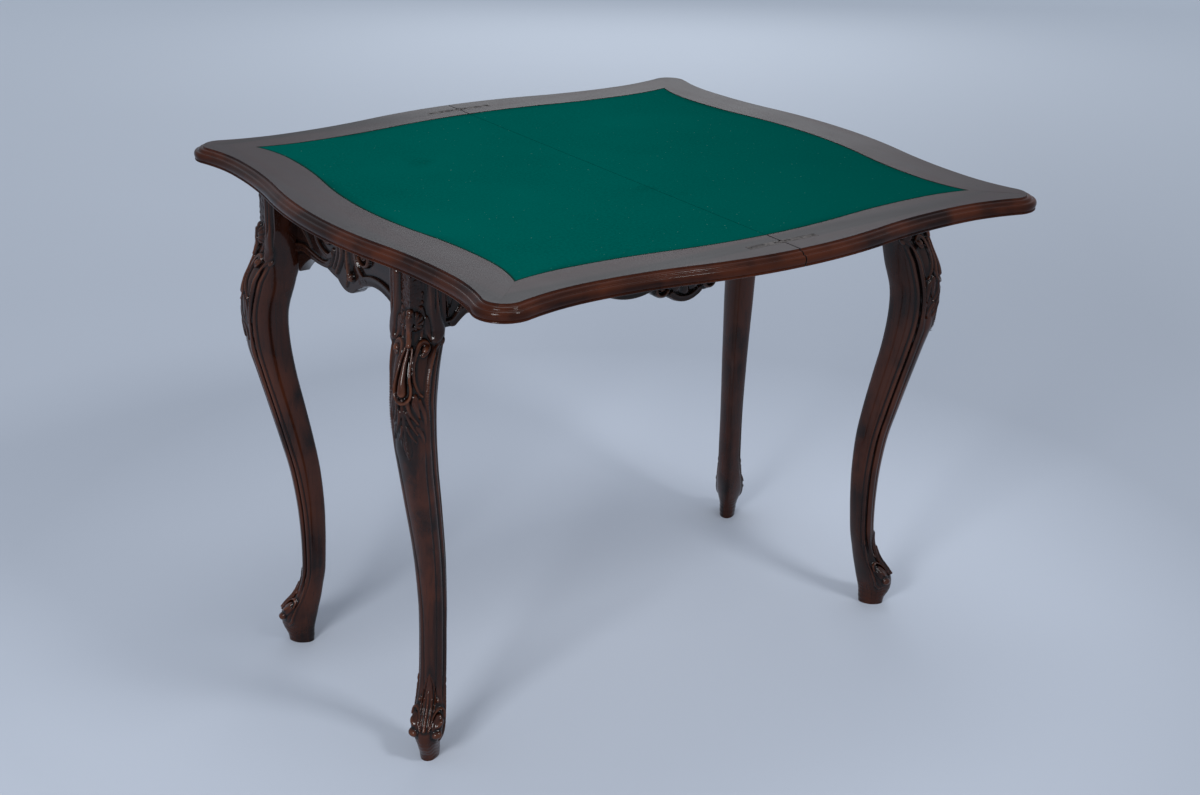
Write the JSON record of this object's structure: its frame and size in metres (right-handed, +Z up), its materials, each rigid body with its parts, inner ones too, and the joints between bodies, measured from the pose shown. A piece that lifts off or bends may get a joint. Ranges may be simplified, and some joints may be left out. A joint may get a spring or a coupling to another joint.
{
  "type": "swivel and flip-top card table",
  "caption": "Card table with carved cabriole legs whose serpentine double top swings a quarter turn and unfolds to a baize playing surface.",
  "frame": {"origin": "on the floor under the middle of the frame, which is also the middle of the open top", "axes": "+Z up, X along the frame's long side, Y along the fold of the open top; the pictured corner is the one at -X, -Y"},
  "size_m": [0.953, 0.925, 0.75],
  "materials": {
    "frame_wood": "french-polished dark mahogany",
    "border_wood": "waxed dark rosewood veneer",
    "core_wood": "plain stained wood, unpolished",
    "well_wood": "plain softwood",
    "baize": "short green nap",
    "brass": "aged, dull",
    "iron": "dark, rubbed",
    "screw_steel": "aged"
  },
  "bodies": {
    "frame": {"leg_front_left": "frame_wood", "leg_front_right": "frame_wood", "leg_back_left": "frame_wood", "leg_back_right": "frame_wood", "front_apron": "frame_wood", "back_apron": "frame_wood", "left_apron": "frame_wood", "right_apron": "frame_wood", "corner_blocks": "well_wood", "corner_block_screws": "screw_steel", "glide_strips": "baize", "pivot_rail": "well_wood", "pivot_bush": "brass", "well_floor": "well_wood", "floor_cleats": "well_wood"},
    "lower_leaf": {"lower_leaf_core": "core_wood", "lower_end_rail": "border_wood", "lower_near_rail": "border_wood", "lower_far_rail": "border_wood", "lower_baize": "baize", "lower_hinge_plates": "brass", "lower_hinge_pins": "screw_steel", "lower_hinge_screws": "screw_steel", "pivot_plate": "iron", "pivot_plate_screws": "screw_steel", "pivot_pin": "iron", "pivot_washer": "iron", "pivot_nut": "iron", "stop_peg": "well_wood"},
    "hinge_links": {"hinge_links": "brass"},
    "upper_leaf": {"upper_leaf_core": "core_wood", "upper_end_rail": "border_wood", "upper_near_rail": "border_wood", "upper_far_rail": "border_wood", "upper_baize": "baize", "upper_hinge_plates": "brass", "upper_hinge_pins": "screw_steel", "upper_hinge_screws": "screw_steel"}
  },
  "joints": [
    {"name": "top_swivel", "type": "hinge", "parent": "frame", "child": "lower_leaf", "pos_m": [0.11912, 0.11912, 0.7275], "axis": [0, 0, 1], "range_deg": [-90, 0]},
    {"name": "link_fold", "type": "hinge", "parent": "lower_leaf", "child": "hinge_links", "pos_m": [0.0032, 0, 0.7476], "axis": [0, 1, 0], "range_deg": [0, 90]},
    {"name": "leaf_fold", "type": "hinge", "parent": "hinge_links", "child": "upper_leaf", "pos_m": [-0.0032, 0, 0.7476], "axis": [0, 1, 0], "range_deg": [0, 90]}
  ]
}
